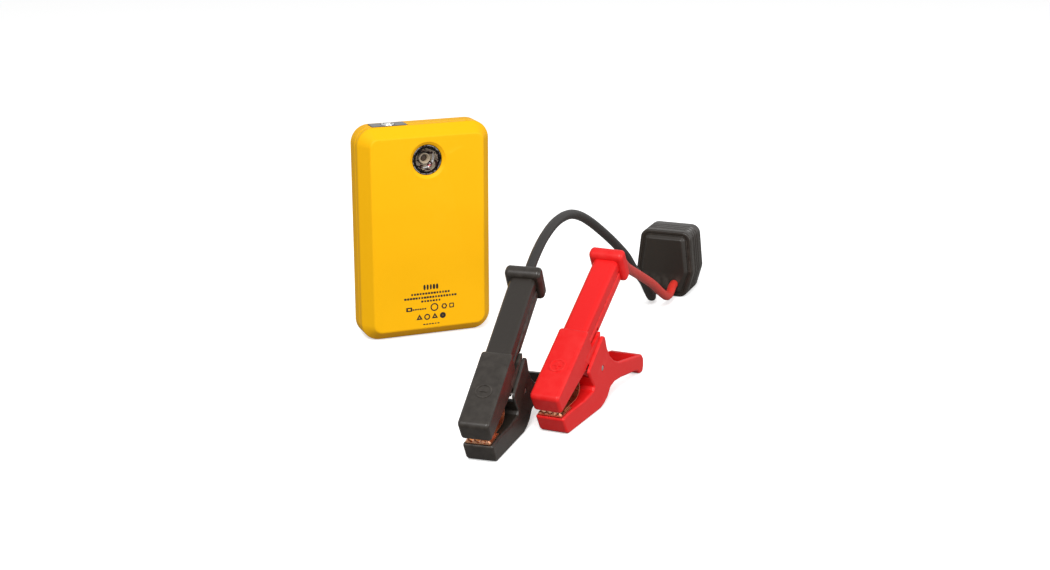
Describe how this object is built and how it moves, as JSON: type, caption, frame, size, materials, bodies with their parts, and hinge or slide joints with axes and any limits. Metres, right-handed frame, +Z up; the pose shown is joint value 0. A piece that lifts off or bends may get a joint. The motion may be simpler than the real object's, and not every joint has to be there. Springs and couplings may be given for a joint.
{
  "type": "jump starter pack",
  "caption": "Slim upright lithium power pack with a lamp and side sockets, and its separate lead set: spring clamps on flexible leads that end in a plug block.",
  "frame": {"origin": "centre of the pack's flat base, on the surface it stands on", "axes": "+Z up, X across the pack's width, +Y out of the pack's plain back, -Y out of the face that holds the lamp"},
  "size_m": [0.2673, 0.2827, 0.1309],
  "materials": {
    "yellow_moulding": "satin",
    "black_moulding": "satin",
    "gloss_black": "polished",
    "satin_silver": "satin",
    "chrome": "polished",
    "clear_plastic": "polished",
    "red_moulding": "satin",
    "black_rubber": "matte",
    "red_rubber": "matte",
    "copper": "satin",
    "brass": "satin",
    "steel": "satin",
    "circuit_board": "matte",
    "cell_foil": "satin",
    "foam": "matte"
  },
  "bodies": {
    "pack": {"battery_cell_1": "cell_foil", "battery_cell_2": "cell_foil", "battery_cell_3": "cell_foil", "battery_foam": "foam", "cell_strap_negative": "steel", "cell_strap_positive": "steel", "main_board": "circuit_board", "button_switch": "black_moulding", "front_shell": "yellow_moulding", "rear_shell": "yellow_moulding", "shell_screw_1": "steel", "shell_screw_2": "steel", "shell_screw_3": "steel", "shell_screw_4": "steel", "top_panel": "gloss_black", "lamp_lens": "clear_plastic", "lamp_reflector": "chrome", "lamp_board": "circuit_board", "lead_socket": "black_moulding", "socket_pin_negative": "brass", "socket_pin_positive": "brass", "usb_socket": "steel", "charge_socket": "black_moulding"},
    "button": {"power_button": "satin_silver"},
    "cover": {"port_cover": "black_rubber"},
    "lead_set": {"black_upper_shell": "black_moulding", "black_handle_cover": "black_moulding", "black_upper_plate": "copper", "black_jaw_strap": "copper", "black_cable_lug": "copper", "black_lug_screw": "steel", "black_pivot_pin": "steel", "black_torsion_spring": "steel", "black_lead": "black_rubber", "red_upper_shell": "red_moulding", "red_handle_cover": "red_moulding", "red_upper_plate": "copper", "red_jaw_strap": "copper", "red_cable_lug": "copper", "red_lug_screw": "steel", "red_pivot_pin": "steel", "red_torsion_spring": "steel", "red_lead": "red_rubber", "plug_cap": "black_moulding", "plug_body": "black_moulding", "plug_insert": "black_moulding", "plug_contact_negative": "brass", "plug_contact_positive": "brass", "plug_board": "circuit_board", "plug_relay": "black_moulding"},
    "black_lower_jaw": {"black_lower_shell": "black_moulding", "black_lower_plate": "copper"},
    "red_lower_jaw": {"red_lower_shell": "red_moulding", "red_lower_plate": "copper"}
  },
  "joints": [
    {"name": "button_press", "type": "slide", "parent": "pack", "child": "button", "axis": [0, 0, -1], "range_m": [0, 0.0006], "stiffness_N_per_m": 800, "springref_m": -0.0005},
    {"name": "port_cover_hinge", "type": "hinge", "parent": "pack", "child": "cover", "pos_m": [0.0411, 0.0075, 0.0845], "axis": [0, 0, 1], "range_deg": [0, 120]},
    {"name": "lead_set_slide", "type": "slide", "parent": "pack", "child": "lead_set", "axis": [1, 0, 0], "range_m": [0, 0.06]},
    {"name": "black_jaw_hinge", "type": "hinge", "parent": "lead_set", "child": "black_lower_jaw", "pos_m": [-0.01319, -0.17518, 0.0225], "axis": [0.7859, -0.6184, 0], "range_deg": [0, 30], "stiffness_Nm_per_rad": 1.2, "springref_deg": -28.65, "deforming": ["black_torsion_spring"]},
    {"name": "red_jaw_hinge", "type": "hinge", "parent": "lead_set", "child": "red_lower_jaw", "pos_m": [0.03936, -0.15659, 0.0225], "axis": [0.7009, -0.7132, 0], "range_deg": [0, 30], "stiffness_Nm_per_rad": 1.2, "springref_deg": -28.65, "deforming": ["red_torsion_spring"]}
  ]
}
